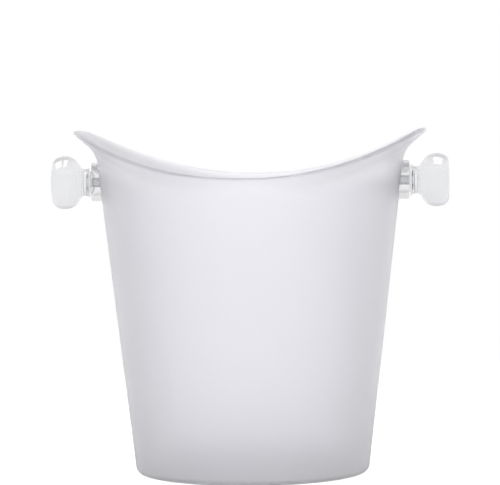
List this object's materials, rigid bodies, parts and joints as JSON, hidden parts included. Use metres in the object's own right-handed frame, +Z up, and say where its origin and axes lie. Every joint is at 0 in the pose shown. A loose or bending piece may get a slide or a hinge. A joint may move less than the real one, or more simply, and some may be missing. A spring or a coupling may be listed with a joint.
{
  "type": "champagne bucket",
  "caption": "Tapered frosted plastic champagne bucket with a flared saddle-shaped rim and clear mushroom knobs below its raised ears.",
  "frame": {"origin": "middle of the foot, on the surface that the bucket stands on", "axes": "+Z up, +X along the knobs' shared axis towards the right knob, +Y towards the back"},
  "size_m": [0.2886, 0.2226, 0.2495],
  "materials": {
    "frosted_shell": "translucent, frosted outside, glossy on the lip",
    "clear_plastic": "clear, polished",
    "seal_rubber": "milky silicone, matt",
    "washer_plastic": "natural nylon, satin"
  },
  "bodies": {
    "bucket": {"bucket_shell": "frosted_shell", "left_collar": "clear_plastic", "right_collar": "clear_plastic", "left_seal": "seal_rubber", "right_seal": "seal_rubber", "left_washer": "washer_plastic", "right_washer": "washer_plastic"},
    "left_handle": {"left_knob": "clear_plastic", "left_nut": "clear_plastic"},
    "right_handle": {"right_knob": "clear_plastic", "right_nut": "clear_plastic"}
  },
  "joints": [
    {"name": "left_knob_turn", "type": "hinge", "parent": "bucket", "child": "left_handle", "pos_m": [-0.13, 0, 0.2117], "axis": [1, 0, 0], "continuous": true},
    {"name": "right_knob_turn", "type": "hinge", "parent": "bucket", "child": "right_handle", "pos_m": [0.13, 0, 0.2117], "axis": [1, 0, 0], "continuous": true}
  ]
}
